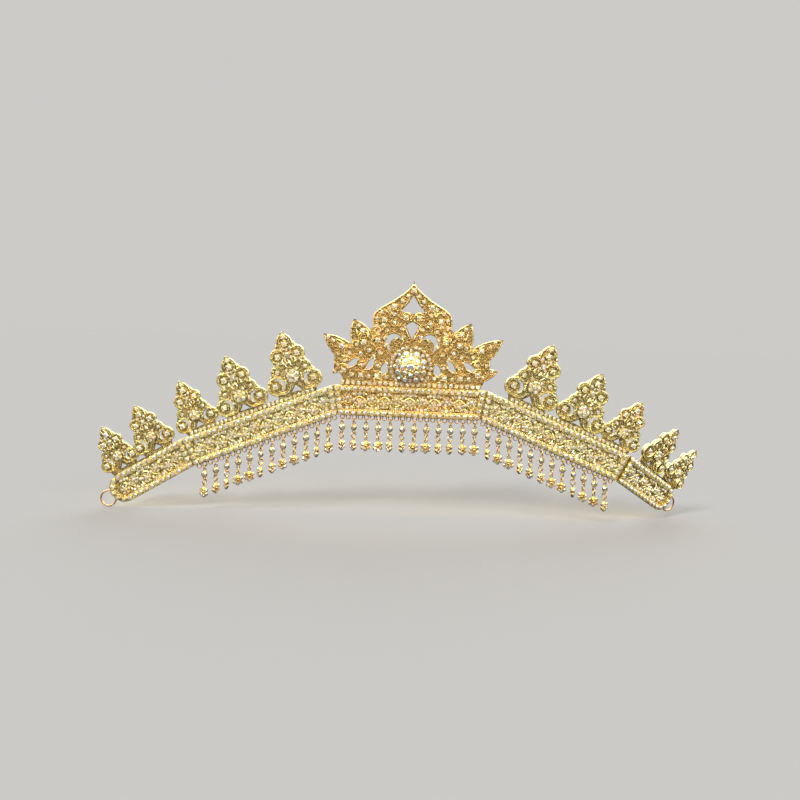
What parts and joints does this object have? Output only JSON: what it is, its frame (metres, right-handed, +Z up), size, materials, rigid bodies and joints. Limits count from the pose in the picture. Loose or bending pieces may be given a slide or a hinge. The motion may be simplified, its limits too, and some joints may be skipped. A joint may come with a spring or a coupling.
{
  "type": "forehead crown",
  "caption": "Hinged gilt forehead crown with pierced lotus crests, rows of clear cut stones, a raised stone flower and a fringe of flower drops.",
  "frame": {"origin": "back face of the centre panel, at the middle of its band, where it lies on the forehead", "axes": "+X to the viewer's right as seen from the front, along the centre band; +Y from the front towards the forehead; +Z up to the crest's tip"},
  "size_m": [0.314, 0.0422, 0.12],
  "materials": {
    "gilt_centre": "gold plated, polished cast relief",
    "gilt_sides": "gold plated, polished cast relief",
    "gilt_fringe": "gold plated wire and cups",
    "gilt_wire": "gold plated wire",
    "crystal": "clear cut crystal, foiled back"
  },
  "bodies": {
    "centre": {"centre_plate": "gilt_centre", "centre_stones": "crystal", "rosette": "gilt_centre", "rosette_stones": "crystal", "left_inner_pin": "gilt_wire", "right_inner_pin": "gilt_wire", "centre_drop_1": "gilt_fringe", "centre_drop_2": "gilt_fringe", "centre_drop_3": "gilt_fringe", "centre_drop_4": "gilt_fringe", "centre_drop_5": "gilt_fringe", "centre_drop_6": "gilt_fringe", "centre_drop_7": "gilt_fringe", "centre_drop_8": "gilt_fringe", "centre_drop_9": "gilt_fringe", "centre_drop_10": "gilt_fringe", "centre_drop_11": "gilt_fringe", "centre_drop_12": "gilt_fringe"},
    "left_inner": {"left_inner_plate": "gilt_sides", "left_inner_stones": "crystal", "left_end_pin": "gilt_wire", "left_drop_1": "gilt_fringe", "left_drop_2": "gilt_fringe", "left_drop_3": "gilt_fringe", "left_drop_4": "gilt_fringe", "left_drop_5": "gilt_fringe", "left_drop_6": "gilt_fringe", "left_drop_7": "gilt_fringe", "left_drop_8": "gilt_fringe", "left_drop_9": "gilt_fringe", "left_drop_10": "gilt_fringe", "left_drop_11": "gilt_fringe", "left_drop_12": "gilt_fringe"},
    "right_inner": {"right_inner_plate": "gilt_sides", "right_inner_stones": "crystal", "right_end_pin": "gilt_wire", "right_drop_1": "gilt_fringe", "right_drop_2": "gilt_fringe", "right_drop_3": "gilt_fringe", "right_drop_4": "gilt_fringe", "right_drop_5": "gilt_fringe", "right_drop_6": "gilt_fringe", "right_drop_7": "gilt_fringe", "right_drop_8": "gilt_fringe", "right_drop_9": "gilt_fringe", "right_drop_10": "gilt_fringe", "right_drop_11": "gilt_fringe", "right_drop_12": "gilt_fringe"},
    "left_end": {"left_end_plate": "gilt_sides", "left_end_stones": "crystal", "left_tie_loop": "gilt_wire"},
    "right_end": {"right_end_plate": "gilt_sides", "right_end_stones": "crystal", "right_tie_loop": "gilt_wire"}
  },
  "joints": [
    {"name": "left_inner_hinge", "type": "hinge", "parent": "centre", "child": "left_inner", "pos_m": [-0.03725, 0.0013, 0], "axis": [0.1908, 0, -0.9816], "range_deg": [-5, 75]},
    {"name": "left_end_hinge", "type": "hinge", "parent": "left_inner", "child": "left_end", "pos_m": [-0.11096, 0.0013, -0.02978], "axis": [0.4462, 0, -0.8949], "range_deg": [-5, 75]},
    {"name": "right_inner_hinge", "type": "hinge", "parent": "centre", "child": "right_inner", "pos_m": [0.03725, 0.0013, 0], "axis": [0.1908, 0, 0.9816], "range_deg": [-10, 70]},
    {"name": "right_end_hinge", "type": "hinge", "parent": "right_inner", "child": "right_end", "pos_m": [0.11067, 0.0081, -0.02973], "axis": [0.4452, 0.0233, 0.8951], "range_deg": [-33, 47]}
  ]
}
